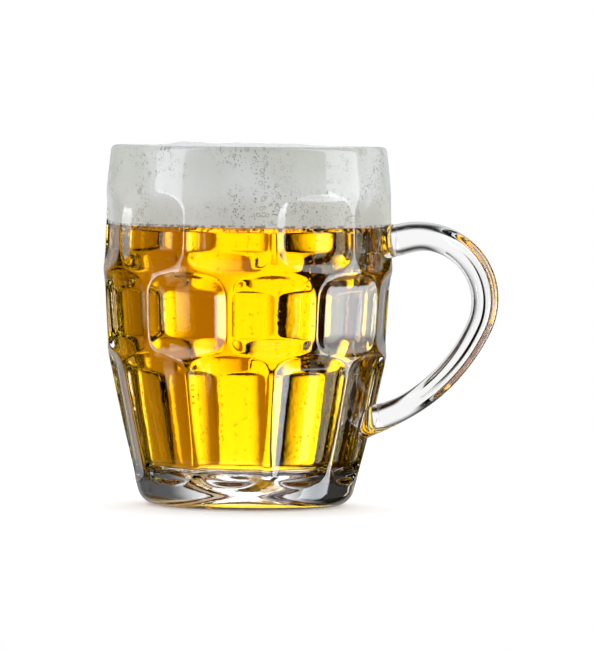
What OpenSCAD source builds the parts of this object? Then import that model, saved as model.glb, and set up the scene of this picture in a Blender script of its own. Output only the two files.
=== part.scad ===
// Dimpled glass beer mug with a bow handle, filled with beer and a head of foam.
// Millimetres, +Z up. The origin is the middle of the flat base, on the vessel's
// axis, and the handle lies along +X.

/* [Glass body] */
// Height of the glass from its base to its rim
mug_h = 124; // [108:1:140]
// Outside radius at the belly, over the ridges between the dimples
belly_r = 49.9; // [44:0.1:58]
// Height of the widest point of the belly
belly_z = 85; // [72:1:100]
// Radius of the belly's upright curve
belly_arc_r = 310; // [250:5:400]
// Height of the waist, where the belly meets the tapered skirt
waist_z = 49; // [42:1:56]
// Inward lean of the skirt at the waist, in degrees
skirt_lean = 11.3; // [8:0.1:13.5]
// Radius of the skirt's upright curve
skirt_arc_r = 600; // [450:10:900]
// Rounding of the heel, between the skirt and the base
heel_round = 7; // [4:0.5:9]
// Thickness of the wall at the rim, which is rounded right over
rim_wall = 3.9; // [3:0.1:5]

/* [Cavity] */
// Thickness of the solid glass floor at its edge
floor_t = 13.5; // [10:0.5:17]
// Height at which the straight mouth of the cavity begins
mouth_z = 100; // [90:1:112]
// Radius of the cavity's upright curve below the mouth
cavity_arc_r = 364; // [320:2:440]
// Rounding between the cavity's wall and its floor
cavity_round = 5; // [3:0.5:8]
// How far the floor dishes down to its middle
floor_dip = 7.5; // [2:0.5:8]

/* [Dimples] */
// Number of dimples in a row, and of flutes round the skirt
dimple_count = 10; // [8:1:12]
// Height of the middle of the upper row
upper_row_z = 94.8; // [90:0.2:98]
// Height of the middle of the lower row, which sits half a step round
lower_row_z = 66.6; // [62:0.2:72]
// Depth of a dimple below the belly's surface
dimple_depth = 3; // [2:0.1:3.2]
// Length of a dimple's straight floor, up the wall
dimple_straight = 12; // [8:0.5:14]
// Rounding of a dimple's two ends
dimple_round = 15; // [10:0.5:18]
// Radius of a dimple's level curve
dimple_wide_r = 150; // [90:5:160]

/* [Flutes] */
// Height of the middle of the flutes
flute_z = 31.3; // [28:0.1:33]
// Length of a flute's straight floor
flute_straight = 29; // [20:1:32]
// Depth of a flute below the skirt's surface, halfway up
flute_depth = 2.4; // [1.8:0.1:2.6]
// Angle by which a flute stands more upright than the skirt, in degrees
flute_turn = 0.8; // [0:0.1:1.2]
// Radius of a flute's level curve
flute_wide_r = 150; // [90:5:160]
// Rounding of a flute's arched top
flute_top_round = 15; // [10:0.5:20]
// Rounding of a flute's scalloped toe
flute_toe_round = 22; // [14:0.5:28]

/* [Handle] */
// Distance of the bow's centre outside the belly
bow_out = 10.5; // [8.5:0.1:13]
// Height of the bow's centre
bow_z = 71.6; // [66:0.2:76]
// Radius of the bow, to the middle of the glass
bow_r = 21.95; // [18:0.05:26]
// Slope at which the upper end runs down into the body, in degrees
root_slope = 13; // [8:0.5:18]
// Angle below level at which the bow passes into the lower arm, in degrees
arm_angle = 24.5; // [18:0.5:30]
// Height of the middle of the lower joint
lower_joint_z = 30.5; // [26:0.5:36]
// Thickness of the bow
bow_t = 9.6; // [8:0.1:11.5]
// Thickness of the lower arm
arm_t = 8.3; // [7:0.1:10]
// Width of the handle, across its plane
handle_w = 12.6; // [10:0.1:15]
// Growth in thickness where the handle meets a lug
root_growth = 1.2; // [0:0.1:2]
// Distance that the lugs stand out of the body
lug_out = 2.2; // [1.6:0.1:3]
// Growth of a lug on each side, down to its embedded end
lug_flare = 1.6; // [0.5:0.1:2.4]

/* [Contents] */
// Height of the beer's surface, where the foam begins
fill_z = 96.6; // [80:0.2:104]
// Height of the foam's edge below the rim
foam_drop = 2.6; // [2:0.1:6]
// Rise of the foam's crown above its edge
foam_crown = 3.4; // [2:0.1:6]
// Rise of the foam's swells above its crown
swell_rise = 0.9; // [0.2:0.1:1.6]
// Radius of the foam's swells
swell_r = 42; // [30:1:60]

/* [Hidden] */

// Overrun of a cut past the face that it opens
cut = 1;
// Length of one band of a long curve, and the turn of one band of a tight one
band_h = 6;
band_turn = 20;
// Smoothness of the round faces
arc_fn = 180;
// Bands of the dished floor, from its middle to its edge
dish_steps = 12;
// Angle between two dimples
pitch = 360 / dimple_count;

// Belly curve: its centre, and its radius at a height
belly_x = belly_r - belly_arc_r;
function belly_at(z) = belly_x + sqrt(pow(belly_arc_r, 2) - pow(z - belly_z, 2));

// Skirt curve, which crosses the belly curve at the waist
skirt_x = belly_at(waist_z) - skirt_arc_r * cos(skirt_lean);
skirt_z = waist_z + skirt_arc_r * sin(skirt_lean);
function skirt_at(z) = skirt_x + sqrt(pow(skirt_arc_r, 2) - pow(skirt_z - z, 2));
function skirt_lean_at(z) = asin((skirt_z - z) / skirt_arc_r);

// Rim: a full round of the wall's thickness, inside the belly curve and touching it
rim_round = rim_wall / 2;
rim_z = mug_h - rim_round;
rim_x = belly_x + sqrt(pow(belly_arc_r - rim_round, 2) - pow(rim_z - belly_z, 2));
rim_angle = asin((rim_z - belly_z) / (belly_arc_r - rim_round));

// Heel: a round that touches the base and the inside of the skirt curve
heel_x = skirt_x + sqrt(pow(skirt_arc_r - heel_round, 2) - pow(skirt_z - heel_round, 2));
heel_angle = asin((skirt_z - heel_round) / (skirt_arc_r - heel_round));

// Cavity: a straight mouth as wide as the rim leaves, and a curve below it
mouth_r = rim_x - rim_round;
cavity_x = mouth_r - cavity_arc_r;
cavity_corner_z = floor_t + cavity_round;
cavity_corner_x = cavity_x + sqrt(pow(cavity_arc_r - cavity_round, 2) - pow(mouth_z - cavity_corner_z, 2));
cavity_corner_angle = asin((mouth_z - cavity_corner_z) / (cavity_arc_r - cavity_round));

// Handle: the middle line starts at the upper joint, runs straight into the bow,
// and passes from the bow into an arm whose arc ends at the lower joint
bow_x = belly_r + bow_out;
bow_start = 90 + root_slope;
bow_start_x = bow_x + bow_r * cos(bow_start);
bow_start_z = bow_z + bow_r * sin(bow_start);
upper_joint_x = belly_at(bow_start_z) + lug_out;
upper_run = (bow_start_x - upper_joint_x) / cos(root_slope);
lower_lean = skirt_lean_at(lower_joint_z);
lower_joint_x = skirt_at(lower_joint_z) + lug_out / cos(lower_lean);
arm_start_x = bow_x + bow_r * cos(arm_angle);
arm_start_z = bow_z - bow_r * sin(arm_angle);
chord_x = lower_joint_x - arm_start_x;
chord_z = lower_joint_z - arm_start_z;
arm_r = (pow(chord_x, 2) + pow(chord_z, 2)) / (2 * (chord_z * sin(arm_angle) - chord_x * cos(arm_angle)));
arm_x = arm_start_x - arm_r * cos(arm_angle);
arm_z = arm_start_z + arm_r * sin(arm_angle);
arm_end = asin((arm_z - lower_joint_z) / arm_r);
bow_run = bow_r * (bow_start + arm_angle) * PI / 180;
arm_run = arm_r * (arm_end - arm_angle) * PI / 180;
handle_run = upper_run + bow_run + arm_run;

// Depth to which a lug is rooted inside the wall, below the tops of the ridges
lug_root = 3.6;
// Length over which the handle grows and turns square to a joint
root_blend = 13;
// Sides of the handle's section, and rings along it and along a lug
handle_sides = 28;
handle_rings = 52;
lug_rings = 4;
// Squareness of the handle's section, where 2 is an ellipse
section_power = 2.3;

// Places of the foam's swells: turn in degrees, and distance out as a share of the mouth
swell_places_share = [[188, 0.52], [250, 0.2], [140, 0.6], [40, 0.45], [310, 0.62]];

// Middle line of the handle at a distance from the upper joint: place and outward angle
function handle_at(t) =
    t < upper_run ? [
        bow_start_x - (upper_run - t) * cos(root_slope),
        bow_start_z - (upper_run - t) * sin(root_slope),
        bow_start
    ]
    : t < upper_run + bow_run ? bow_at(bow_start - (t - upper_run) / bow_r * 180 / PI)
    : t < handle_run ? arm_at(arm_angle + (t - upper_run - bow_run) / arm_r * 180 / PI)
    : arm_at(arm_end) + (t - handle_run) * [-sin(arm_end), -cos(arm_end), 0];
function bow_at(a) = [bow_x + bow_r * cos(a), bow_z + bow_r * sin(a), a];
function arm_at(a) = [arm_x + arm_r * cos(a), arm_z - arm_r * sin(a), -a];

// Smooth step from 0 to 1
function ease(u) = let (v = min(1, max(0, u))) v * v * (3 - 2 * v);
// Nearness to a joint, 1 at the joint and 0 beyond the blend
function near_root(d) = 1 - ease(d / root_blend);
// Half thickness and half width of the handle at a distance from the upper joint
function half_t(t) = let (
    slim = ease((t - upper_run - bow_run / 2) / (bow_run / 2 + arm_run / 3)),
    root = near_root(t) + near_root(handle_run - t)
) (bow_t + (arm_t - bow_t) * slim + root_growth * root) / 2;
half_w = handle_w / 2;

// Upright line of each joint face, scaled so that it keeps the handle's thickness
upper_face = [0, 1] / sin(bow_start);
lower_face = -[sin(lower_lean), cos(lower_lean)] / sin(arm_end - lower_lean);
// Direction in which the thickness is measured at a distance from the upper joint
function thick_way(t) = let (
    a = handle_at(t)[2],
    n = [cos(a), sin(a)],
    u = near_root(t),
    v = near_root(handle_run - t)
) n * (1 - u - v) + upper_face * u + lower_face * v;

// One ring of the handle's section, with a growth all round
function signed_power(c, p) = sign(c) * pow(abs(c), p);
function ring(t, grow) = let (
    place = handle_at(t),
    way = thick_way(t),
    a = half_t(t) + grow,
    b = half_w + grow
) [
    for (i = [0 : handle_sides - 1]) let (
        turn = 360 * i / handle_sides,
        c = signed_power(cos(turn), 2 / section_power),
        s = signed_power(sin(turn), 2 / section_power)
    ) [place[0] + way[0] * a * c, b * s, place[1] + way[1] * a * c]
];

// Closed skin over a list of rings
module skin(rings) {
    n = len(rings[0]);
    last = len(rings) - 1;
    points = [for (r = rings) for (p = r) p];
    sides = [
        for (k = [0 : last - 1]) for (i = [0 : n - 1]) let (
            j = (i + 1) % n,
            p = k * n
        ) each [[p + i, p + j, p + n + j], [p + i, p + n + j, p + n + i]]
    ];
    start_cap = [[for (i = [n - 1 : -1 : 0]) i]];
    end_cap = [[for (i = [0 : n - 1]) last * n + i]];
    polyhedron(points = points, faces = concat(start_cap, sides, end_cap));
}

// Points along an arc, from one angle to another
function arc_points(x, z, r, from, to) = let (
    turn = to - from,
    steps = ceil(max(abs(turn) * PI / 180 * r / band_h, abs(turn) / band_turn))
) [for (i = [0 : steps]) let (a = from + turn * i / steps) [x + r * cos(a), z + r * sin(a)]];

// Outline of the vessel's outside, on the right of the axis, from the base up
module outside_outline() {
    waist_on_belly = asin((waist_z - belly_z) / belly_arc_r);
    polygon(concat(
        [[0, 0]],
        arc_points(heel_x, heel_round, heel_round, -90, -heel_angle),
        arc_points(skirt_x, skirt_z, skirt_arc_r, -heel_angle, -skirt_lean),
        arc_points(belly_x, belly_z, belly_arc_r, waist_on_belly, rim_angle),
        arc_points(rim_x, rim_z, rim_round, rim_angle, 180),
        [[0, rim_z]]
    ));
}

// Point of the dished floor, at a share of the way from the middle out to its edge
function dish_point(out_share) =
    [cavity_corner_x * out_share, floor_t - floor_dip * (1 + cos(180 * out_share)) / 2];

// Outline of the cavity up to a height
module cavity_outline(top_z) {
    top_angle = asin((min(top_z, mouth_z) - mouth_z) / cavity_arc_r);
    polygon(concat(
        [for (k = [0 : dish_steps - 1]) dish_point(k / dish_steps)],
        arc_points(cavity_corner_x, cavity_corner_z, cavity_round, -90, -cavity_corner_angle),
        arc_points(cavity_x, mouth_z, cavity_arc_r, -cavity_corner_angle, top_angle),
        top_z > mouth_z ? [[mouth_r, top_z]] : [],
        [[0, top_z]]
    ));
}

// Cutter of one dimple or flute, which leans with the wall: its straight floor and
// two round ends are swept about an axis outside the vessel, a little over a pitch wide
module press_cutter(wall_r, z, lean, depth, wide_r, straight, top_round, toe_round) {
    half = straight / 2;
    sweep = asin((wall_r * sin(pitch / 2) + cut) / wide_r);
    translate([wall_r, 0, z]) rotate([0, lean, 0]) translate([wide_r - depth, 0, 0])
        rotate_extrude(angle = 2 * sweep, start = 180 - sweep, $fn = arc_fn) {
            translate([0, -half]) square([wide_r, straight]);
            translate([0, half]) round_end(wide_r, top_round);
            translate([0, -half]) mirror([0, 1]) round_end(wide_r, toe_round);
        }
}

// Round end of a cutter's outline
module round_end(wide_r, end_r) {
    square([wide_r - end_r, end_r]);
    translate([wide_r - end_r, 0]) intersection() {
        circle(r = end_r, $fn = arc_fn);
        square(end_r);
    }
}

// Row of dimples round the belly
module dimple_row(z, first_turn) {
    lean = asin((belly_z - z) / belly_arc_r);
    for (i = [0 : dimple_count - 1]) rotate([0, 0, first_turn + i * pitch])
        press_cutter(
            belly_at(z), z, lean, dimple_depth, dimple_wide_r, dimple_straight, dimple_round, dimple_round
        );
}

// Row of flutes round the skirt
module flute_row(first_turn) {
    lean = skirt_lean_at(flute_z) - flute_turn;
    for (i = [0 : dimple_count - 1]) rotate([0, 0, first_turn + i * pitch])
        press_cutter(
            skirt_at(flute_z), flute_z, lean, flute_depth, flute_wide_r, flute_straight, flute_top_round,
            flute_toe_round
        );
}

// Lug on the wall: the handle's section run on into the glass, with a flare
module lug(joint_t, way) {
    depth = lug_out + lug_root;
    rings = [
        for (k = [0 : lug_rings]) let (share = k / lug_rings)
            ring(joint_t + way * depth * share, lug_flare * share * share)
    ];
    skin(way > 0 ? rings : [for (k = [lug_rings : -1 : 0]) rings[k]]);
}

// Pressed glass vessel, with its dimples, its flutes and the lugs for the handle
module glass_body() {
    color([0.86, 0.91, 0.93, 0.45]) {
        difference() {
            difference() {
                difference() {
                    rotate_extrude($fn = arc_fn) difference() {
                        outside_outline();
                        cavity_outline(rim_z);
                    }
                    dimple_row(upper_row_z, pitch / 2);
                }
                dimple_row(lower_row_z, 0);
            }
            flute_row(pitch / 2);
        }
        lug(0, -1);
        lug(handle_run, 1);
    }
}

// Solid glass handle: bow and arm, from the face of one lug to the other
module handle() {
    color([0.9, 0.94, 0.95, 0.45])
        skin([for (k = [0 : handle_rings]) ring(handle_run * k / handle_rings, 0)]);
}

// Beer that fills the cavity up to the foam
module beer() {
    color([0.98, 0.76, 0.06]) rotate_extrude($fn = arc_fn) cavity_outline(fill_z);
}

// Head of foam: it fills the mouth, crowns over the rim and swells here and there
module foam_head() {
    edge_z = mug_h - foam_drop;
    crown_z = edge_z + foam_crown;
    crown_r = (pow(mouth_r, 2) + pow(foam_crown, 2)) / (2 * foam_crown);
    color([0.94, 0.93, 0.9]) {
        rotate_extrude($fn = arc_fn) intersection() {
            difference() {
                cavity_outline(crown_z);
                square([mouth_r + cut, fill_z]);
            }
            translate([0, crown_z - crown_r]) circle(r = crown_r, $fn = arc_fn);
        }
        for (place = swell_places_share) {
            out = mouth_r * place[1];
            top_z = crown_z - crown_r + sqrt(pow(crown_r, 2) - pow(out, 2)) + swell_rise;
            intersection() {
                rotate([0, 0, place[0]]) translate([out, 0, top_z - swell_r])
                    sphere(r = swell_r, $fn = arc_fn);
                translate([0, 0, edge_z]) cylinder(r = mouth_r - rim_round, h = mug_h, $fn = arc_fn);
            }
        }
    }
}

glass_body();
handle();
beer();
foam_head();
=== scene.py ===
from math import asin, ceil, copysign, cos, degrees, exp, pi, radians, sin, sqrt, tau

import bmesh
import bpy
from mathutils import Matrix, Vector, noise


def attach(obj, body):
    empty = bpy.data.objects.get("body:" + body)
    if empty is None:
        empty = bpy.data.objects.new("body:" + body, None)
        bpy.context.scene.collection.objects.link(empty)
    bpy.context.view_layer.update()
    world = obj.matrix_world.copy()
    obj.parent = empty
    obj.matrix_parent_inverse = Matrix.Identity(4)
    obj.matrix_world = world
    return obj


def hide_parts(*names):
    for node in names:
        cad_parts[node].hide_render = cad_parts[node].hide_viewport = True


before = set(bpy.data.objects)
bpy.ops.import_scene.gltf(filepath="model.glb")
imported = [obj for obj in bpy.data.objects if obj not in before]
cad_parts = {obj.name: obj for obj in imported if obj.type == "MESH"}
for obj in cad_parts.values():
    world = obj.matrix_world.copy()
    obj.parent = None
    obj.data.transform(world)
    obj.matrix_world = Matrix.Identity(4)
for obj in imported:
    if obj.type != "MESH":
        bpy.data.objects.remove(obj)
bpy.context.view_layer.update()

MM = 0.001

# Vessel
MUG_H = 124 * MM
BELLY_R = 49.9 * MM
BELLY_Z = 85 * MM
BELLY_ARC_R = 310 * MM
WAIST_Z = 49 * MM
SKIRT_LEAN = radians(11.3)
SKIRT_ARC_R = 600 * MM
HEEL_ROUND = 7 * MM
RIM_ROUND = 1.95 * MM

# Cavity
FLOOR_T = 13.5 * MM
MOUTH_Z = 100 * MM
CAVITY_ARC_R = 364 * MM
CAVITY_ROUND = 5 * MM
FLOOR_DIP = 7.5 * MM

# Pressed marks: two staggered rows of dimples, and the flutes below them
MARK_COUNT = 10
DIMPLE_DEPTH = 3 * MM
DIMPLE_ROUND = 15 * MM
DIMPLE_LEVEL = 20 * MM
UPPER_ROW_Z = 94.8 * MM
LOWER_ROW_Z = 66.6 * MM
UPPER_STRAIGHT = 10 * MM
LOWER_STRAIGHT = 12 * MM
FLUTE_Z = 28.9 * MM
FLUTE_STRAIGHT = 33.8 * MM
FLUTE_DEPTH = 2.7 * MM
FLUTE_LEVEL = 13 * MM
FLUTE_SIDE_ROUND = 26 * MM
FLUTE_TURN = radians(2.2)
FLUTE_TOP_ROUND = 15 * MM
FLUTE_TOE_ROUND = 7 * MM
RIDGE_ROUND = 0.5 * MM

# Handle
BOW_X = BELLY_R + 10.5 * MM
BOW_Z = 71.6 * MM
BOW_R = 21.95 * MM
ROOT_SLOPE = radians(13)
ARM_ANGLE = radians(24.5)
LOWER_JOINT_Z = 30.5 * MM
BOW_T = 9.6 * MM
ARM_T = 8.3 * MM
HALF_W = 6.3 * MM
ROOT_GROWTH = 1.2 * MM
ROOT_BLEND = 13 * MM
LUG_OUT = 2.2 * MM
LUG_ROOT = 3.6 * MM
LUG_FLARE = 1.6 * MM
SECTION_POWER = 2.4

# Rib along the handle's outer side: where its flanks begin across the section, and its ends
RIB_SHARE = 0.36
RIB_START = -0.02
RIB_FLANK = 0.5
RIB_INSET = 6 * MM
RIB_FADE = 22 * MM

# Contents
FILL_Z = 96.6 * MM
SURFACE_SHARES = (0.5, 0.97)
FOAM_EDGE_Z = MUG_H - 1.2 * MM
FOAM_WALL_STEP = 8 * MM
FOAM_CROWN = 2 * MM
CONTACT = 0.1 * MM

# Swells of the foam: x, y and width as shares of the mouth's radius, and height
SWELLS = (
    (-0.45, -0.45, 0.2, 1.3 * MM),
    (-0.2, 0.5, 0.22, 0.5 * MM),
    (0.45, -0.2, 0.25, 0.4 * MM),
    (0.05, -0.7, 0.12, 0.3 * MM),
)

# Lumps of the foam: how many there are to a metre, and how high they stand;
# the small ones are cut from the same noise at another height
LUMP_SCALE = 220
LUMP_H = 0.35 * MM
SMALL_LUMP_SCALE = 560
SMALL_LUMP_SHARE = 0.5
SMALL_LUMP_SHIFT = 0.01

# Bubbles: the inputs of their tree
BUBBLE_SIZES = {
    "Stream Count": 26,
    "Bubble Count": 900,
    "Edge Count": 420,
    "Bubble Radius": 0.34 * MM,
    "Edge Radius": 0.5 * MM,
    "Stream Width": radians(1.2),
    "Depth Range": 9 * MM,
    "Low Height": FLOOR_T + 4 * MM,
    "High Height": FILL_Z - 2 * MM,
    "Seed": 7,
}

# Bubbles: how their sizes and places spread, and what each random draw adds to the seed
BUBBLE_LEVELS = 2
SMALLEST_BUBBLE = 0.45
WALL_GAP = 2.0
STREAM_SWAY = 0.3
SWAY_CHANGE = 12.9
DEPTH_CHANGE = 7.3
EDGE_GAP = 1.3
EDGE_RISE = 1.4 * MM
EDGE_CROWDING = 0.4
DRAWS = {
    "stream": 1,
    "spread": 2,
    "lift": 3,
    "edge lift": 4,
    "edge turn": 5,
    "edge depth": 6,
    "scale": 9,
}

# Mesh: vertices round the outside and the inside, and the spacing and number of the rings
OUTSIDE_COUNT = 456
INSIDE_COUNT = 114
FINE_STEP = 0.66 * MM
PLAIN_STEP = 1.4 * MM
INSIDE_STEP = 2.5 * MM
HEEL_STEP = 0.9 * MM
RIM_STEP = 0.5 * MM
CORNER_STEP = 0.8 * MM
UNDERSIDE_SHARE = 0.6
DISH_BANDS = 16
LUG_BANDS = 8
LUG_SIDES = 48
HANDLE_BANDS = 150
HANDLE_SIDES = 56
FOAM_BANDS = 36

# Angles past which an edge is shaded sharp
VESSEL_EDGE = radians(40)
HANDLE_EDGE = radians(45)
FOAM_EDGE = radians(50)

# Camera: its turn round the mug, the point it aims at, its own place, roll and lens
VIEW_TURN = radians(7.2)
AIM_OUT = 17.3 * MM
AIM_Z = 62.3 * MM
EYE_AWAY = 2.0
EYE_Z = 138 * MM
CAMERA_ROLL = radians(0.6)
SENSOR_H = 36
LENS = 320.7

# Glass: its colour and index, and the relief of its pressed skin
GLASS_COLOUR = (0.985, 0.995, 0.99)
GLASS_INDEX = 1.5
WAVE_SCALE = 70
WAVE_WARP = 0.4
RIPPLE_SCALE = 330
RIPPLE_WARP = 0.8
SKIN_DETAIL = 1.0
SKIN_UNIT = 1 * MM
VESSEL_RELIEF = {"Wave Height": 0.085, "Ripple Height": 0.016}
HANDLE_RELIEF = {"Wave Height": 0.03, "Ripple Height": 0.004}

# Beer: the colour and index of its surface, and the colour of its depth
BEER_COLOUR = (1, 0.94, 0.62)
BEER_INDEX = 1.34
BEER_DEPTH_COLOUR = (0.996, 0.885, 0.05)
BEER_DENSITY = 80

# Froth: how many patches, veils and cells there are to a metre, and how ragged they are
PATCH_SCALE = 60
PATCH_DETAIL = 3.0
PATCH_WARP = 0.6
VEIL_SCALE = 26
VEIL_DETAIL = 2.0
FINE_CELL_SCALE = 1350
COARSE_CELL_SCALE = 520

# Froth: where each of its marks fades, from bare to full
FROTH_FADES = {
    "patches": (0.42, 0.58),
    "veil": (0.42, 0.62),
    "fine pick": (0.56, 0.6),
    "coarse pick": (0.6, 0.64),
    "speck": (0.42, 0.22),
    "ring outside": (0.5, 0.38),
    "ring inside": (0.2, 0.34),
    "low": (FILL_Z + 16 * MM, FILL_Z + 4 * MM),
    "line": (FILL_Z + 1.0 * MM, FILL_Z + 0.3 * MM),
    "line cells": (0.7, 0.4),
    # Painted shade: the top of the froth, where it stands over the rim, fades to grey
    "painted top shade": (MUG_H - 2.2 * MM, MUG_H - 0.6 * MM),
}

# Froth: its ground tones, then how strongly each mark is laid on, and in which tone
PALE_TONE = (0.99, 1.0, 1.0)
VEIL_TONE = (0.86, 0.87, 0.82)
FROTH_TONES = {
    "low": (0.5, (0.9, 0.89, 0.82)),
    "rings": (0.7, (0.55, 0.54, 0.47)),
    "specks": (0.75, (0.25, 0.25, 0.22)),
    "line": (0.75, (0.22, 0.14, 0.07)),
    # Painted shade that greys the froth's top over the rim
    "painted top shade": (0.75, (0.6, 0.62, 0.62)),
}
SPECKS_IN_PATCHES = 0.85
SPECKS_LOW = 0.15
FROTH_ROUGHNESS = 0.65
SPECK_GLOSS = 0.25
CELL_BUMP = 0.5
FROTH_BUMP = 0.6
FROTH_BUMP_UNIT = 0.4 * MM

# Floor
FLOOR_HALF = 0.6
FLOOR_COLOUR = (0.9, 0.9, 0.9)
FLOOR_ROUGHNESS = 0.9
FLOOR_GLOW = 0.2
FLOOR_GLOW_COLOUR = (1, 1, 1)
FLOOR_FADE = (0.12, 0.5)

# Studio: where its lights fade, in degrees, from dark to full.
# Rise is counted up from level.
RISE_FADES = {
    "box top": (80, 70),
    "box foot": (7, -9),
    "left box end": (-17, -11),
    "right box end": (-50, -34),
    "floor light": (-30, -48),
    "ceiling": (25, 60),
    "panel foot": (-24, -14),
    "panel top": (28, 12),
    "beer panel foot": (-32, -16),
    "beer panel top": (24, 15),
    "low bounce": (-20, -28),
    "cool foot": (-2, 4),
    "cool top": (30, 24),
    "dome top": (10, 60),
}
# Turn is counted from straight behind the mug to the camera's right.
TURN_FADES = {
    "panel left": (-27, -12),
    "panel right": (34, 10),
    "beer panel left": (-17, -11),
    "beer panel right": (13, 2),
    "sliver left": (-90, -80),
    "sliver right": (-60, -64),
    "warm left": (2, 10),
    "warm middle": (60, 12),
    "warm right": (75, 60),
}
# Turn to either side
SIDE_FADES = {
    "rear": (150, 160),
    "backdrop": (35, 20),
}
# Spans of turn: two edges, and half the width of their fades
SPANS = {
    "left box": (-125, -98, 1.5),
    "right box": (78, 113, 1.5),
    "past handle": (-150, -15, 10),
    "cool right": (18, 55, 5),
    "cool left": (-60, -28, 5),
}

# Studio: how bright each light is, and what is left of it elsewhere
PANEL = 2.35
OVERHEAD = 1.0
UNDERFOOT = 0.8
STEEP_LOST_IN_BEER = 0.75
REAR = 1.5
DIM = 0.02
BOX_THROUGH = 4.0
BOX_MIRRORED = 9.0
BOX_HIGH_SHARE = 0.4
BOX_BOUNCED_SHARE = 0.04
BACKDROP_MIRRORED = 0.45
CEILING_MIRRORED = 0.4
WARM_FAR_SHARE = 0.2
COOL_LEFT_SHARE = 0.3
DOME = 1.66
DOME_AHEAD = 0.75
DOME_RIGHT = 0.1
DOME_TOP = 0.65

# Studio: the red, green and blue of each light
BOX_TINT = (0.93, 0.98, 1.04)
WARM_TINT = (0.56, 0.39, 0.25)
COOL_TINT = (0.095, 0.105, 0.11)
BOUNCE_TINT = (0.87, 0.9, 1.75)

# Counts of the surfaces that a ray has met, set halfway between whole numbers
NO_BOUNCE = 0.5
ONE_BOUNCE = 1.5
INTO_BEER = 2.5
THROUGH_HANDLE = 6.5

# Places of sockets that share their name with others on the same node
RANDOM_LOW, RANDOM_HIGH, RANDOM_OUT = 2, 3, 1
MIX_SHARE, MIX_LOW, MIX_HIGH, MIX_OUT = 0, 6, 7, 2


# Outline of the vessel, worked out as tangent arcs
def belly_at(z):
    """Radius of the belly at a height."""
    return BELLY_R - BELLY_ARC_R + sqrt(BELLY_ARC_R**2 - (z - BELLY_Z) ** 2)


BELLY_X = BELLY_R - BELLY_ARC_R
SKIRT_X = belly_at(WAIST_Z) - SKIRT_ARC_R * cos(SKIRT_LEAN)
SKIRT_Z = WAIST_Z + SKIRT_ARC_R * sin(SKIRT_LEAN)


def skirt_at(z):
    """Radius of the skirt at a height."""
    return SKIRT_X + sqrt(SKIRT_ARC_R**2 - (SKIRT_Z - z) ** 2)


def skirt_lean_at(z):
    """Angle of the skirt from upright at a height."""
    return asin((SKIRT_Z - z) / SKIRT_ARC_R)


RIM_Z = MUG_H - RIM_ROUND
RIM_X = BELLY_X + sqrt((BELLY_ARC_R - RIM_ROUND) ** 2 - (RIM_Z - BELLY_Z) ** 2)
RIM_ANGLE = asin((RIM_Z - BELLY_Z) / (BELLY_ARC_R - RIM_ROUND))
HEEL_X = SKIRT_X + sqrt((SKIRT_ARC_R - HEEL_ROUND) ** 2 - (SKIRT_Z - HEEL_ROUND) ** 2)
HEEL_ANGLE = asin((SKIRT_Z - HEEL_ROUND) / (SKIRT_ARC_R - HEEL_ROUND))
MOUTH_R = RIM_X - RIM_ROUND
CAVITY_X = MOUTH_R - CAVITY_ARC_R
CORNER_Z = FLOOR_T + CAVITY_ROUND
CORNER_X = CAVITY_X + sqrt((CAVITY_ARC_R - CAVITY_ROUND) ** 2 - (MOUTH_Z - CORNER_Z) ** 2)
CORNER_ANGLE = asin((MOUTH_Z - CORNER_Z) / (CAVITY_ARC_R - CAVITY_ROUND))


def arc(x, z, r, start, end, step):
    """Points along an arc of the outline, about a step apart, both ends included."""
    count = ceil(abs(end - start) * r / step)
    turns = [start + (end - start) * i / count for i in range(count + 1)]
    return [(x + r * cos(a), z + r * sin(a)) for a in turns]


def outside_outline():
    """From the heel up the outside and over the rim."""
    plain_z = UPPER_ROW_Z + DIMPLE_ROUND
    waist, plain = (asin((z - BELLY_Z) / BELLY_ARC_R) for z in (WAIST_Z, plain_z))
    heel = arc(HEEL_X, HEEL_ROUND, HEEL_ROUND, -pi / 2, -HEEL_ANGLE, HEEL_STEP)
    skirt = arc(SKIRT_X, SKIRT_Z, SKIRT_ARC_R, -HEEL_ANGLE, -SKIRT_LEAN, FINE_STEP)
    belly = arc(BELLY_X, BELLY_Z, BELLY_ARC_R, waist, plain, FINE_STEP)
    neck = arc(BELLY_X, BELLY_Z, BELLY_ARC_R, plain, RIM_ANGLE, PLAIN_STEP)
    rim = arc(RIM_X, RIM_Z, RIM_ROUND, RIM_ANGLE, pi, RIM_STEP)
    return heel + skirt[1:] + belly[1:] + neck[1:] + rim[1:]


DISH_SHARES = [1 - k / DISH_BANDS for k in range(1, DISH_BANDS)]


def dish_at(share):
    """Height of the cavity's dished floor, at a share of the way out to its edge."""
    return FLOOR_T - FLOOR_DIP * (1 + cos(pi * share)) / 2


def cavity_outline(top_z, grow=0.0):
    """From the mouth down to the floor, set back by a growth into the glass."""
    top_angle = asin((min(top_z, MOUTH_Z) - MOUTH_Z) / CAVITY_ARC_R)
    mouth = [(MOUTH_R + grow, top_z)] if top_z > MOUTH_Z else []
    wall = arc(CAVITY_X, MOUTH_Z, CAVITY_ARC_R + grow, top_angle, -CORNER_ANGLE, INSIDE_STEP)
    corner = arc(CORNER_X, CORNER_Z, CAVITY_ROUND + grow, -CORNER_ANGLE, -pi / 2, CORNER_STEP)
    dish = [(CORNER_X * share, dish_at(share) - grow) for share in DISH_SHARES]
    return mouth + wall + corner[1:] + dish


def new_object(name, data):
    """Object of a mesh or a camera, in the scene."""
    obj = bpy.data.objects.new(name, data)
    bpy.context.scene.collection.objects.link(obj)
    return obj


def finish_mesh(bm, name):
    """Turns a bmesh into an object with smooth faces."""
    for face in bm.faces:
        face.smooth = True
    mesh = bpy.data.meshes.new(name)
    bm.to_mesh(mesh)
    bm.free()
    return new_object(name, mesh)


def paint(obj, material):
    """Makes a material the only one of an object."""
    obj.data.materials.clear()
    obj.data.materials.append(material)


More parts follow.
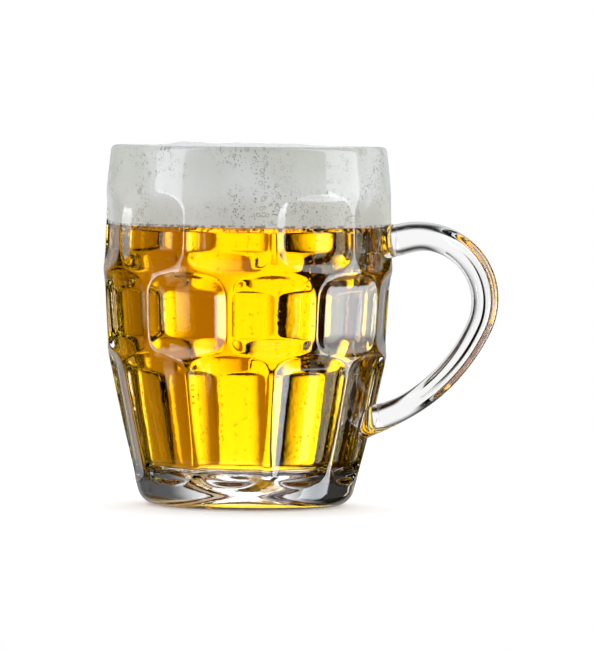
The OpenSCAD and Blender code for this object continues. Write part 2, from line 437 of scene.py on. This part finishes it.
def bridge(bm, low, high):
    """Faces between two rings; the finer has a whole number of times the other's vertices."""
    few = min(len(low), len(high))
    steps_low, steps_high = len(low) // few, len(high) // few
    for i in range(few):
        below = [low[(i * steps_low + k) % len(low)] for k in range(steps_low + 1)]
        above = [high[(i * steps_high + k) % len(high)] for k in range(steps_high + 1)]
        bm.faces.new(below + above[::-1])


def fan(bm, ring, height):
    """Faces that close a ring at a pole on the axis."""
    pole = bm.verts.new((0, 0, height))
    for a, b in zip(ring, ring[1:] + ring[:1]):
        bm.faces.new((a, b, pole))


def revolve(name, rings, first_pole, last_pole):
    """Closed skin through rings, each given as radius, height and number of vertices."""
    bm = bmesh.new()
    made = []
    for r, z, count in rings:
        turns = [tau * i / count for i in range(count)]
        made.append([bm.verts.new((r * cos(a), r * sin(a), z)) for a in turns])
    for low, high in zip(made, made[1:]):
        bridge(bm, low, high)
    fan(bm, made[0][::-1], first_pole)
    fan(bm, made[-1], last_pole)
    bmesh.ops.triangulate(bm, faces=[face for face in bm.faces if len(face.verts) > 4])
    return finish_mesh(bm, name)


# Handle: the middle line runs from the upper joint through the bow into the arm
BOW_START = pi / 2 + ROOT_SLOPE
BOW_START_X = BOW_X + BOW_R * cos(BOW_START)
BOW_START_Z = BOW_Z + BOW_R * sin(BOW_START)
UPPER_RUN = (BOW_START_X - belly_at(BOW_START_Z) - LUG_OUT) / cos(ROOT_SLOPE)
LOWER_LEAN = skirt_lean_at(LOWER_JOINT_Z)
LOWER_JOINT_X = skirt_at(LOWER_JOINT_Z) + LUG_OUT / cos(LOWER_LEAN)
ARM_START_X = BOW_X + BOW_R * cos(ARM_ANGLE)
ARM_START_Z = BOW_Z - BOW_R * sin(ARM_ANGLE)
CHORD_X = LOWER_JOINT_X - ARM_START_X
CHORD_Z = LOWER_JOINT_Z - ARM_START_Z
ARM_R = (CHORD_X**2 + CHORD_Z**2) / (2 * (CHORD_Z * sin(ARM_ANGLE) - CHORD_X * cos(ARM_ANGLE)))
ARM_X = ARM_START_X - ARM_R * cos(ARM_ANGLE)
ARM_Z = ARM_START_Z + ARM_R * sin(ARM_ANGLE)
ARM_END = asin((ARM_Z - LOWER_JOINT_Z) / ARM_R)
BOW_RUN = BOW_R * (BOW_START + ARM_ANGLE)
ARM_RUN = ARM_R * (ARM_END - ARM_ANGLE)
HANDLE_RUN = UPPER_RUN + BOW_RUN + ARM_RUN
UPPER_FACE = Vector((0, 0, 1)) / sin(BOW_START)
LOWER_FACE = Vector((-sin(LOWER_LEAN), 0, -cos(LOWER_LEAN))) / sin(ARM_END - LOWER_LEAN)


def on_bow(a):
    """Place and outward angle at an angle of the bow."""
    return Vector((BOW_X + BOW_R * cos(a), 0, BOW_Z + BOW_R * sin(a))), a


def on_arm(a):
    """Place and outward angle at an angle of the arm."""
    return Vector((ARM_X + ARM_R * cos(a), 0, ARM_Z - ARM_R * sin(a))), -a


def handle_at(t):
    """Place and outward angle of the middle line, at a distance from the upper joint."""
    if t < UPPER_RUN:
        back = UPPER_RUN - t
        x, z = BOW_START_X - back * cos(ROOT_SLOPE), BOW_START_Z - back * sin(ROOT_SLOPE)
        return Vector((x, 0, z)), BOW_START
    if t < UPPER_RUN + BOW_RUN:
        return on_bow(BOW_START - (t - UPPER_RUN) / BOW_R)
    if t < HANDLE_RUN:
        return on_arm(ARM_ANGLE + (t - UPPER_RUN - BOW_RUN) / ARM_R)
    place, angle = on_arm(ARM_END)
    return place - (t - HANDLE_RUN) * Vector((sin(ARM_END), 0, cos(ARM_END))), angle


def ease(u):
    """Rises smoothly from 0 at 0 to 1 at 1, and is level outside."""
    u = min(1.0, max(0.0, u))
    return u * u * (3 - 2 * u)


def squared(share):
    """Cosine or sine for a section between a circle and a square."""
    return copysign(abs(share) ** (2 / SECTION_POWER), share)


def handle_ring(t, grow, sides):
    """Points of the handle's section, which turns square to a joint as it nears it."""
    place, angle = handle_at(t)
    upper = 1 - ease(t / ROOT_BLEND)
    lower = 1 - ease((HANDLE_RUN - t) / ROOT_BLEND)
    outward = Vector((cos(angle), 0, sin(angle)))
    way = outward * (1 - upper - lower) + UPPER_FACE * upper + LOWER_FACE * lower
    ribbed = ease((t - RIB_INSET) / RIB_FADE) * ease((HANDLE_RUN - RIB_INSET - t) / RIB_FADE)
    slim = ease((t - UPPER_RUN - BOW_RUN / 2) / (BOW_RUN / 2 + ARM_RUN / 3))
    half_t = (BOW_T + (ARM_T - BOW_T) * slim + ROOT_GROWTH * (upper + lower)) / 2 + grow
    points = []
    for i in range(sides):
        out, across = squared(cos(tau * i / sides)), squared(sin(tau * i / sides))
        thin = (1 - RIB_SHARE) * ease((out - RIB_START) / RIB_FLANK) * ribbed
        half_w = HALF_W * (1 - thin) + grow
        points.append(place + way * half_t * out + Vector((0, half_w * across, 0)))
    return points


def skin(name, rings):
    """Closed skin over rings of points, with sharp edges round its two ends."""
    bm = bmesh.new()
    made = [[bm.verts.new(p) for p in ring] for ring in rings]
    for low, high in zip(made, made[1:]):
        bridge(bm, low, high)
    bm.faces.new(made[0][::-1])
    bm.faces.new(made[-1])
    bmesh.ops.recalc_face_normals(bm, faces=bm.faces)
    obj = finish_mesh(bm, name)
    obj.data.set_sharp_from_angle(angle=HANDLE_EDGE)
    return obj


def feed(node, inputs):
    """Sets inputs of a node, each to a plain value, a colour, a socket or a field."""
    for key, value in inputs.items():
        if isinstance(value, Field):
            value = value.socket
        if isinstance(value, bpy.types.NodeSocket):
            node.id_data.links.new(value, node.inputs[key])
        else:
            node.inputs[key].default_value = (*value, 1) if isinstance(value, tuple) else value


def add_node(tree, kind, inputs, **settings):
    """New node with its settings made and its inputs fed."""
    node = tree.nodes.new(kind)
    for name, value in settings.items():
        setattr(node, name, value)
    feed(node, inputs)
    return node


class Field:
    """A number in a node tree, which adds and multiplies as a plain number does."""

    def __init__(self, tree, socket):
        self.tree, self.socket = tree, socket

    def math(self, operation, *others):
        """This number and others, put through one operation of a Math node."""
        inputs = dict(enumerate((self, *others)))
        node = add_node(self.tree, "ShaderNodeMath", inputs, operation=operation)
        return Field(self.tree, node.outputs[0])

    def __add__(self, other):
        return self.math("ADD", other)

    def __sub__(self, other):
        return self.math("SUBTRACT", other)

    def __mul__(self, other):
        return self.math("MULTIPLY", other)

    def __neg__(self):
        return self * -1.0

    def __rsub__(self, other):
        return -self + other

    def root(self):
        """Square root, which is 0 below 0."""
        return self.math("MAXIMUM", 0.0).math("SQRT")

    def cos(self):
        return self.math("COSINE")

    def sin(self):
        return self.math("SINE")


def coordinates(tree, kind):
    """Socket of one kind of texture coordinates."""
    return tree.nodes.new("ShaderNodeTexCoord").outputs[kind]


def axes(tree, place):
    """The x, y and z of a place, as fields."""
    split = add_node(tree, "ShaderNodeSeparateXYZ", {0: place})
    return [Field(tree, out) for out in split.outputs]


def light_path(tree, *names):
    """What kind of ray meets a surface and what it has met before, as fields."""
    path = tree.nodes.new("ShaderNodeLightPath")
    return [Field(tree, path.outputs[name]) for name in names]


def smooth_step(field, low, high):
    """Rises smoothly from 0 at low to 1 at high; falls where low is above high."""
    inputs = {
        "Value": field,
        "From Min": min(low, high),
        "From Max": max(low, high),
        "To Min": float(low > high),
        "To Max": float(low < high),
    }
    node = add_node(field.tree, "ShaderNodeMapRange", inputs, interpolation_type="SMOOTHSTEP")
    return Field(field.tree, node.outputs["Result"])


def noise_field(tree, place, scale, detail, warp=0.0):
    """Soft noise, by how many of its waves there are to a metre."""
    inputs = {"Vector": place, "Scale": scale, "Detail": detail, "Distortion": warp}
    return Field(tree, add_node(tree, "ShaderNodeTexNoise", inputs).outputs["Fac"])


def cell_fields(tree, place, scale):
    """Distance to the middle of the nearest cell, and a random number for each cell."""
    node = add_node(tree, "ShaderNodeTexVoronoi", {"Vector": place, "Scale": scale})
    return Field(tree, node.outputs["Distance"]), Field(tree, node.outputs["Color"])


def colour_mix(share, low, high):
    """Socket of the colour between two colours or colour sockets, by a field."""
    inputs = {MIX_SHARE: share, MIX_LOW: low, MIX_HIGH: high}
    return add_node(share.tree, "ShaderNodeMix", inputs, data_type="RGBA").outputs[MIX_OUT]


def add_bump(shader, height, strength, unit):
    """Bump on a shader's normal; the height is counted in a unit of length."""
    inputs = {"Strength": strength, "Distance": unit, "Height": height}
    bump = add_node(shader.id_data, "ShaderNodeBump", inputs)
    feed(shader, {"Normal": bump.outputs["Normal"]})


def geometry_tree(name, sizes):
    """Geometry Nodes tree with a named input for each size, with its two ends and the sizes."""
    tree = bpy.data.node_groups.new(name, "GeometryNodeTree")
    tree.interface.new_socket("Geometry", in_out="INPUT", socket_type="NodeSocketGeometry")
    for label, value in sizes.items():
        socket = tree.interface.new_socket(label, in_out="INPUT", socket_type="NodeSocketFloat")
        socket.default_value = value
    tree.interface.new_socket("Geometry", in_out="OUTPUT", socket_type="NodeSocketGeometry")
    start = tree.nodes.new("NodeGroupInput")
    end = tree.nodes.new("NodeGroupOutput")
    fields = {label: Field(tree, start.outputs[label]) for label in sizes}
    return tree, start, end, fields


def close_tree(tree, geometry, material, end):
    """Ends a tree in Realize Instances and Set Material."""
    real = add_node(tree, "GeometryNodeRealizeInstances", {"Geometry": geometry})
    inputs = {"Geometry": real.outputs[0], "Material": material}
    coated = add_node(tree, "GeometryNodeSetMaterial", inputs)
    feed(end, {"Geometry": coated.outputs[0]})


def apply_tree(obj, tree, sizes):
    """Runs a tree on an object and keeps the result as its plain mesh."""
    modifier = obj.modifiers.new(tree.name, "NODES")
    modifier.node_group = tree
    for item in tree.interface.items_tree:
        if item.in_out == "INPUT" and item.name in sizes:
            modifier[item.identifier] = float(sizes[item.name])
    apply_modifiers(obj)


def apply_modifiers(obj):
    """Keeps an object's evaluated shape as its plain mesh."""
    graph = bpy.context.evaluated_depsgraph_get()
    mesh = bpy.data.meshes.new_from_object(obj.evaluated_get(graph))
    obj.modifiers.clear()
    obj.data = mesh


MARK_KEYS = (
    "Wall Radius", "Height", "Lean", "Depth", "Straight",
    "Top Round", "Toe Round", "Level Width", "Side Round",
)


def dimple_sizes(row_z, straight):
    """Sizes of a row's dimples, in the order of the keys."""
    lean = asin((BELLY_Z - row_z) / BELLY_ARC_R)
    rounds = (DIMPLE_ROUND, DIMPLE_ROUND, DIMPLE_LEVEL, DIMPLE_ROUND)
    return (belly_at(row_z), row_z, lean, DIMPLE_DEPTH, straight, *rounds)


MARKS = {
    "Upper Dimple": dimple_sizes(UPPER_ROW_Z, UPPER_STRAIGHT),
    "Lower Dimple": dimple_sizes(LOWER_ROW_Z, LOWER_STRAIGHT),
    "Flute": (
        skirt_at(FLUTE_Z), FLUTE_Z, skirt_lean_at(FLUTE_Z) - FLUTE_TURN,
        FLUTE_DEPTH, FLUTE_STRAIGHT,
        FLUTE_TOP_ROUND, FLUTE_TOE_ROUND, FLUTE_LEVEL, FLUTE_SIDE_ROUND,
    ),
}
PRESS_SIZES = {"Mark Count": MARK_COUNT, "Ridge Round": RIDGE_ROUND}
for mark, values in MARKS.items():
    PRESS_SIZES.update({f"{mark} {key}": value for key, value in zip(MARK_KEYS, values)})


def press_tree(material):
    """Tree that presses the dimples and flutes into a plain vessel."""
    tree, start, end, size = geometry_tree("press_dimples", PRESS_SIZES)
    x, y, z = axes(tree, tree.nodes.new("GeometryNodeInputPosition").outputs[0])
    r = (x * x + y * y).root()
    turn = y.math("ARCTAN2", x)
    half_pitch = size["Mark Count"].math("POWER", -1.0) * pi

    def rounding(distance, level, radius):
        """How far a floor has risen past its level part, along an arc."""
        past = (distance - level * 0.5).math("MAXIMUM", 0.0)
        return radius - (radius * radius - past * past).root()

    def cut(mark, shift):
        """Depth of a mark's floor below a point, which is negative outside the mark."""
        sizes = (size[f"{mark} {key}"] for key in MARK_KEYS)
        wall_r, height, lean, depth, straight, top, toe, level, flank = sizes
        off = (turn - half_pitch * shift).math("WRAP", half_pitch, -half_pitch)
        out = r * off.cos() - wall_r
        rise = z - height
        along = out * lean.sin() + rise * lean.cos()
        risen = rounding(along, straight, top) + rounding(-along, straight, toe)
        risen = risen + rounding((r * off.sin()).math("ABSOLUTE"), level, flank)
        return out * lean.cos() - rise * lean.sin() + depth - risen

    depth = cut("Upper Dimple", 1.0)
    for other in (cut("Lower Dimple", 0.0), cut("Flute", 1.0), 0.0):
        depth = depth.math("SMOOTH_MAX", other, size["Ridge Round"])
    normal = tree.nodes.new("GeometryNodeInputNormal")
    inputs = {0: normal.outputs[0], "Scale": -depth}
    inward = add_node(tree, "ShaderNodeVectorMath", inputs, operation="SCALE")
    inputs = {"Geometry": start.outputs["Geometry"], "Offset": inward.outputs[0]}
    move = add_node(tree, "GeometryNodeSetPosition", inputs)
    close_tree(tree, move.outputs[0], material, end)
    return tree


def make_vessel(material):
    """Pressed glass vessel with the two lugs that carry the handle."""
    rings = [(HEEL_X * UNDERSIDE_SHARE, 0.0, INSIDE_COUNT)]
    rings += [(r, z, OUTSIDE_COUNT) for r, z in outside_outline()]
    rings += [(r, z, INSIDE_COUNT) for r, z in cavity_outline(RIM_Z)[1:]]
    vessel = revolve("glass_vessel", rings, first_pole=0.0, last_pole=dish_at(0))
    apply_tree(vessel, press_tree(material), PRESS_SIZES)
    depth = LUG_OUT + LUG_ROOT
    shares = [k / LUG_BANDS for k in range(LUG_BANDS + 1)]
    upper = [handle_ring(-depth * s, LUG_FLARE * s * s, LUG_SIDES) for s in shares]
    lower = [handle_ring(HANDLE_RUN + depth * s, LUG_FLARE * s * s, LUG_SIDES) for s in shares]
    lugs = [skin("upper_lug", upper[::-1]), skin("lower_lug", lower)]
    for lug in lugs:
        weld = vessel.modifiers.new("weld", "BOOLEAN")
        weld.operation = "UNION"
        weld.solver = "EXACT"
        weld.object = lug
    apply_modifiers(vessel)
    for lug in lugs:
        bpy.data.objects.remove(lug)
    paint(vessel, material)
    vessel.data.set_sharp_from_angle(angle=VESSEL_EDGE)
    return vessel


def make_handle(material):
    """Solid glass bow and arm; its ends reach a little way into the lugs."""
    start, end = -CONTACT, HANDLE_RUN + CONTACT
    places = [start + (end - start) * k / HANDLE_BANDS for k in range(HANDLE_BANDS + 1)]
    handle = skin("glass_handle", [handle_ring(t, 0.0, HANDLE_SIDES) for t in places])
    paint(handle, material)
    return handle


def cavity_r(z):
    """Inner radius of the wall at a height given as a field."""
    rise = z - MOUTH_Z
    return (CAVITY_ARC_R**2 - (rise * rise)).root() + CAVITY_X


def bubble_tree(material):
    """Tree that adds bubbles: rising in streams, and gathered under the foam by the wall."""
    tree, start, end, size = geometry_tree("rising_bubbles", BUBBLE_SIZES)

    def random(draw, low, high):
        """Random number between two limits, from a draw of its own."""
        inputs = {RANDOM_LOW: low, RANDOM_HIGH: high, "Seed": size["Seed"] + DRAWS[draw]}
        node = add_node(tree, "FunctionNodeRandomValue", inputs)
        return Field(tree, node.outputs[RANDOM_OUT])

    def scatter(count, radius, turn, depth, height):
        """Balls at a turn round the axis, a depth in from the wall and a height."""
        distance = cavity_r(height) - depth
        inputs = {0: distance * turn.cos(), 1: distance * turn.sin(), 2: height}
        place = add_node(tree, "ShaderNodeCombineXYZ", inputs)
        inputs = {"Count": count, "Position": place.outputs[0]}
        points = add_node(tree, "GeometryNodePoints", inputs)
        inputs = {"Radius": radius, "Subdivisions": BUBBLE_LEVELS}
        ball = add_node(tree, "GeometryNodeMeshIcoSphere", inputs)
        inputs = {
            "Points": points.outputs[0],
            "Instance": ball.outputs[0],
            "Scale": random("scale", SMALLEST_BUBBLE, 1.0),
        }
        return add_node(tree, "GeometryNodeInstanceOnPoints", inputs).outputs[0]

    def join(*parts):
        """All the parts as one geometry."""
        node = tree.nodes.new("GeometryNodeJoinGeometry")
        for part in parts:
            feed(node, {0: part})
        return node.outputs[0]

    step = size["Stream Count"].math("POWER", -1.0) * tau
    stream = random("stream", 0.0, size["Stream Count"]).math("FLOOR")
    lift = random("lift", 0.0, 1.0)
    sway = (stream * SWAY_CHANGE).sin() * STREAM_SWAY
    turn = (stream + sway) * step + random("spread", -1.0, 1.0) * size["Stream Width"]
    height = size["Low Height"] + (size["High Height"] - size["Low Height"]) * lift
    depth = (stream * DEPTH_CHANGE).sin().math("ABSOLUTE") * size["Depth Range"]
    depth = depth + size["Bubble Radius"] * WALL_GAP
    rising = scatter(size["Bubble Count"], size["Bubble Radius"], turn, depth, height)
    crowding = random("edge lift", 0.0, 1.0).math("POWER", EDGE_CROWDING)
    height = size["High Height"] + crowding * EDGE_RISE
    depth = size["Edge Radius"] * EDGE_GAP + random("edge depth", 0.0, 1.0) * size["Edge Radius"]
    turn = random("edge turn", 0.0, tau)
    gathered = scatter(size["Edge Count"], size["Edge Radius"], turn, depth, height)
    solid = add_node(tree, "GeometryNodeRealizeInstances", {0: join(rising, gathered)})
    smooth = add_node(tree, "GeometryNodeSetShadeSmooth", {"Geometry": solid.outputs[0]})
    hollow = add_node(tree, "GeometryNodeFlipFaces", {"Mesh": smooth.outputs[0]})
    close_tree(tree, join(hollow.outputs[0], start.outputs["Geometry"]), material, end)
    return tree


def make_beer(material):
    """Beer that wets the cavity, up to the foam, with its bubbles as hollows in it."""
    rings = [(MOUTH_R * share, FILL_Z, INSIDE_COUNT) for share in SURFACE_SHARES]
    rings += [(r, z, INSIDE_COUNT) for r, z in cavity_outline(FILL_Z, CONTACT)]
    # Its rings run from the top down, so the faces are turned to point outwards
    beer = revolve("beer_fill", rings, first_pole=FILL_Z, last_pole=dish_at(0) - CONTACT)
    beer.data.flip_normals()
    apply_tree(beer, bubble_tree(material), BUBBLE_SIZES)
    paint(beer, material)
    return beer


def foam_height(x, y):
    """Height of the foam: a low crown with soft swells and small lumps."""
    share = (x * x + y * y) / MOUTH_R**2
    height = FOAM_EDGE_Z + FOAM_CROWN * (1 - share)
    for place_x, place_y, width, rise in SWELLS:
        off = ((x / MOUTH_R - place_x) ** 2 + (y / MOUTH_R - place_y) ** 2) / width**2
        height += rise * exp(-off)
    lumps = noise.noise(Vector((x, y, 0)) * LUMP_SCALE)
    small_lumps = noise.noise(Vector((x, y, SMALL_LUMP_SHIFT)) * SMALL_LUMP_SCALE)
    lumps += SMALL_LUMP_SHARE * small_lumps
    return height + lumps * LUMP_H * (1 - share * share)


def make_foam(material):
    """Foam that fills the mouth over the beer and crowns over the rim."""
    # The crown is drawn at a loose height, then each of its points is set at its own
    bottom_z, loose_z = FILL_Z - CONTACT, 2 * MUG_H
    wall_z = (bottom_z, FILL_Z + FOAM_WALL_STEP, FILL_Z + 2 * FOAM_WALL_STEP, FOAM_EDGE_Z)
    rings = [(MOUTH_R + CONTACT, z, INSIDE_COUNT) for z in wall_z]
    crown = [MOUTH_R * k / (FOAM_BANDS + 0.5) for k in range(FOAM_BANDS, 0, -1)]
    rings += [(r, loose_z, INSIDE_COUNT) for r in crown]
    foam = revolve("foam_crown", rings, first_pole=bottom_z, last_pole=loose_z)
    for vertex in foam.data.vertices:
        if vertex.co.z > MUG_H:
            vertex.co.z = foam_height(vertex.co.x, vertex.co.y)
    paint(foam, material)
    foam.data.set_sharp_from_angle(angle=FOAM_EDGE)
    return foam


def make_camera():
    """Camera at the photograph's viewing angle: nearly level, from far off."""
    target = Vector((AIM_OUT * cos(VIEW_TURN), AIM_OUT * sin(VIEW_TURN), AIM_Z))
    eye_x = target.x + EYE_AWAY * sin(VIEW_TURN)
    eye_y = target.y - EYE_AWAY * cos(VIEW_TURN)
    eye = Vector((eye_x, eye_y, EYE_Z))
    data = bpy.data.cameras.new("camera")
    data.sensor_fit = "VERTICAL"
    data.sensor_height = SENSOR_H
    data.lens = LENS
    camera = new_object("camera", data)
    level_aim = (target - eye).to_track_quat("-Z", "Y").to_matrix()
    aim = level_aim @ Matrix.Rotation(CAMERA_ROLL, 3, "Z")
    camera.matrix_world = Matrix.Translation(eye) @ aim.to_4x4()
    bpy.context.scene.camera = camera


def new_material(name):
    """Material with its tree and its Principled shader."""
    material = bpy.data.materials.new(name)
    material.use_nodes = True
    return material, material.node_tree, material.node_tree.nodes["Principled BSDF"]


def pressed_skin():
    """Height of the slow waves and fine ripple that a mould leaves on pressed glass."""
    group = bpy.data.node_groups.new("pressed_skin", "ShaderNodeTree")
    for label, value in VESSEL_RELIEF.items():
        socket = group.interface.new_socket(label, in_out="INPUT", socket_type="NodeSocketFloat")
        socket.default_value = value
    group.interface.new_socket("Height", in_out="OUTPUT", socket_type="NodeSocketFloat")
    start = group.nodes.new("NodeGroupInput")
    wave_height, ripple_height = (Field(group, start.outputs[label]) for label in VESSEL_RELIEF)
    place = coordinates(group, "Object")
    wave = noise_field(group, place, WAVE_SCALE, SKIN_DETAIL, WAVE_WARP)
    ripple = noise_field(group, place, RIPPLE_SCALE, SKIN_DETAIL, RIPPLE_WARP)
    height = wave * wave_height + ripple * ripple_height
    add_node(group, "NodeGroupOutput", {"Height": height})
    return group


def clear_material(name, colour, index):
    """Smooth material that light passes through, with its tree and its shader."""
    material, tree, shader = new_material(name)
    feed(shader, {
        "Base Color": colour,
        "Roughness": 0.0,
        "IOR": index,
        "Transmission Weight": 1.0,
    })
    return material, tree, shader


def glass_material(name, skin_group, relief):
    """Clear glass under a pressed skin of a given relief."""
    material, tree, shader = clear_material(name, GLASS_COLOUR, GLASS_INDEX)
    pressed = add_node(tree, "ShaderNodeGroup", relief, node_tree=skin_group)
    add_bump(shader, pressed.outputs["Height"], 1.0, SKIN_UNIT)
    return material


def beer_material():
    """Clear golden beer: blue light is lost in a few centimetres, green in some more."""
    material, tree = clear_material("clear_golden_beer", BEER_COLOUR, BEER_INDEX)[:2]
    inputs = {"Color": BEER_DEPTH_COLOUR, "Density": BEER_DENSITY}
    absorb = add_node(tree, "ShaderNodeVolumeAbsorption", inputs)
    feed(tree.nodes["Material Output"], {"Volume": absorb.outputs[0]})
    return material


def foam_material():
    """Fine froth: pale and matt, with coarser bubbles and darker specks gathered in patches, and
    its top greyed as painted shade.
    """
    material, tree, shader = new_material("fine_froth")
    place = coordinates(tree, "Object")
    z = axes(tree, place)[2]

    def fade(field, name):
        """How full a mark is where a field has its value."""
        return smooth_step(field, *FROTH_FADES[name])

    patches = fade(noise_field(tree, place, PATCH_SCALE, PATCH_DETAIL, PATCH_WARP), "patches")
    low = fade(z, "low")
    fine, fine_pick = cell_fields(tree, place, FINE_CELL_SCALE)
    coarse, coarse_pick = cell_fields(tree, place, COARSE_CELL_SCALE)
    rings = fade(coarse, "ring outside") * fade(coarse, "ring inside")
    rings = rings * fade(coarse_pick, "coarse pick") * patches
    specks = fade(fine, "speck") * fade(fine_pick, "fine pick")
    specks = specks * (patches * SPECKS_IN_PATCHES + low * SPECKS_LOW)
    marks = {
        "low": low,
        "rings": rings,
        "specks": specks,
        "line": fade(z, "line") * fade(coarse, "line cells"),
        # Painted shade: the froth's top over the rim is greyed by height
        "painted top shade": fade(z, "painted top shade"),
    }
    veil = fade(noise_field(tree, place, VEIL_SCALE, VEIL_DETAIL), "veil")
    colour = colour_mix(veil, PALE_TONE, VEIL_TONE)
    for name, (share, tone) in FROTH_TONES.items():
        colour = colour_mix(marks[name] * share, colour, tone)
    roughness = specks * -SPECK_GLOSS + FROTH_ROUGHNESS
    feed(shader, {"Base Color": colour, "Roughness": roughness})
    height = fine * CELL_BUMP + coarse * CELL_BUMP - specks
    add_bump(shader, height, FROTH_BUMP, FROTH_BUMP_UNIT)
    return material


def make_world():
    """Studio: the camera sees plain white, glass sees lit boxes and panels, froth a soft dome."""
    world = bpy.data.worlds.new("studio")
    bpy.context.scene.world = world
    world.use_nodes = True
    tree = world.node_tree
    x, y, z = axes(tree, coordinates(tree, "Generated"))
    ahead = y * cos(VIEW_TURN) - x * sin(VIEW_TURN)
    right = x * cos(VIEW_TURN) + y * sin(VIEW_TURN)
    turn = right.math("ARCTAN2", ahead) * degrees(1)
    rise = z.math("ARCSINE") * degrees(1)
    camera_ray, glossy_ray, glass_ray = light_path(
        tree, "Is Camera Ray", "Is Glossy Ray", "Is Transmission Ray")
    matt_count, bounce_count, glass_count = light_path(
        tree, "Diffuse Depth", "Glossy Depth", "Transmission Depth")

    def faded(angle, fades):
        """How lit a light is at an angle, for each name in a table of fades."""
        return {name: smooth_step(angle, *fade) for name, fade in fades.items()}

    def between(low, high, soft):
        """1 where the turn lies between two edges, with a soft fade at each."""
        opened = smooth_step(turn, low - soft, low + soft)
        return opened * smooth_step(turn, high + soft, high - soft)

    risen, turned = faded(rise, RISE_FADES), faded(turn, TURN_FADES)
    aside = faded(turn.math("ABSOLUTE"), SIDE_FADES)
    span = {name: between(*edges) for name, edges in SPANS.items()}

    # What a ray has been through
    in_beer = glass_count.math("GREATER_THAN", INTO_BEER)
    direct = bounce_count.math("LESS_THAN", NO_BOUNCE)
    low_bounce = bounce_count.math("LESS_THAN", ONE_BOUNCE) * risen["low bounce"]
    bounced = (1.0 - direct) * in_beer
    clean = matt_count.math("LESS_THAN", NO_BOUNCE)
    either = glass_ray.math("MAXIMUM", glossy_ray) * clean

    # Tall soft boxes at both sides
    tall = risen["box top"] * (risen["box foot"] * (1 - BOX_HIGH_SHARE) + BOX_HIGH_SHARE)
    boxes = span["left box"] * risen["left box end"] + span["right box"] * risen["right box end"]
    boxes = boxes * tall
    box_share = in_beer.math("MAXIMUM", direct) * (1 - BOX_BOUNCED_SHARE) + BOX_BOUNCED_SHARE
    side_light = boxes * box_share * BOX_THROUGH

    # Panel behind the mug, which is narrower and brighter through beer
    clear_view = turned["panel left"] * turned["panel right"]
    clear_view = clear_view * (risen["panel foot"] * risen["panel top"])
    clear_view = clear_view + turned["sliver right"] * turned["sliver left"] * direct
    beer_view = turned["beer panel left"] * turned["beer panel right"] * PANEL
    beer_view = beer_view * risen["beer panel foot"] * risen["beer panel top"]
    seen = clear_view + (beer_view - clear_view) * in_beer

    # Light from above and below, behind the camera, and round the handle
    steep = risen["ceiling"] * OVERHEAD + risen["floor light"] * UNDERFOOT
    steep = steep * (1.0 - in_beer * STEEP_LOST_IN_BEER)
    rear = aside["rear"] * direct * REAR
    past_handle = glass_count.math("GREATER_THAN", THROUGH_HANDLE) * span["past handle"]
    past_handle = past_handle * direct.math("MAXIMUM", low_bounce)
    through = seen.math("MAXIMUM", steep) + past_handle * PANEL + rear

    # Warm and cool glows beside the panel
    warm = turned["warm left"] * (turned["warm middle"] * (1 - WARM_FAR_SHARE) + WARM_FAR_SHARE)
    warm = warm * turned["warm right"] * in_beer
    cool = span["cool right"] + span["cool left"] * COOL_LEFT_SHARE
    cool = cool * risen["cool foot"] * risen["cool top"] * (1.0 - in_beer)

    # What the outside of the glass mirrors, and what lights the froth
    mirrored = boxes * BOX_MIRRORED + aside["backdrop"] * BACKDROP_MIRRORED
    mirrored = mirrored + risen["ceiling"] * CEILING_MIRRORED
    dome = ahead * DOME_AHEAD + right * DOME_RIGHT - risen["dome top"] * DOME_TOP + DOME

    channels = tree.nodes.new("ShaderNodeCombineXYZ")
    tints = zip(BOX_TINT, WARM_TINT, COOL_TINT, BOUNCE_TINT)
    for channel, (box_tint, warm_tint, cool_tint, bounce_tint) in enumerate(tints):
        passed = through * (bounced * (bounce_tint - 1) + 1.0)
        passed = passed + side_light * box_tint + warm * warm_tint + cool * cool_tint
        passed = passed + warm_tint * DIM
        sharp = mirrored * box_tint + (passed - mirrored * box_tint) * glass_ray
        level = dome + (sharp - dome) * either
        level = level + (1.0 - level) * camera_ray
        feed(channels, {channel: level})
    feed(tree.nodes["Background"], {"Color": channels.outputs[0]})


def make_floor():
    """Plain white floor round the mug, which glass sees through to the studio."""
    material, tree, shader = new_material("pale_floor")
    camera_ray, glossy_ray, glass_ray = light_path(
        tree, "Is Camera Ray", "Is Glossy Ray", "Is Transmission Ray")
    feed(shader, {
        "Base Color": FLOOR_COLOUR,
        "Roughness": FLOOR_ROUGHNESS,
        "Emission Color": FLOOR_GLOW_COLOUR,
        "Emission Strength": camera_ray * FLOOR_GLOW,
    })
    x, y = axes(tree, coordinates(tree, "Object"))[:2]
    far = smooth_step((x * x + y * y).root(), *FLOOR_FADE)
    share = far.math("MAXIMUM", glossy_ray).math("MAXIMUM", glass_ray)
    clear = tree.nodes.new("ShaderNodeBsdfTransparent")
    inputs = {0: share, 1: shader.outputs[0], 2: clear.outputs[0]}
    mix = add_node(tree, "ShaderNodeMixShader", inputs)
    feed(tree.nodes["Material Output"], {"Surface": mix.outputs[0]})
    bm = bmesh.new()
    bmesh.ops.create_grid(bm, x_segments=1, y_segments=1, size=FLOOR_HALF)
    floor = finish_mesh(bm, "floor")
    paint(floor, material)


make_camera()
skin_group = pressed_skin()
vessel = make_vessel(glass_material("pressed_vessel_glass", skin_group, VESSEL_RELIEF))
handle = make_handle(glass_material("clear_handle_glass", skin_group, HANDLE_RELIEF))
beer = make_beer(beer_material())
foam = make_foam(foam_material())
make_world()
make_floor()
bpy.context.scene.view_settings.view_transform = "Standard"

for piece, node, slot in (
    (vessel, "glass_body", "vessel_glass"),
    (handle, "handle", "handle_glass"),
    (beer, "beer", "beer"),
    (foam, "foam_head", "foam"),
):
    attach(piece, "root")
    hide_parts(node)
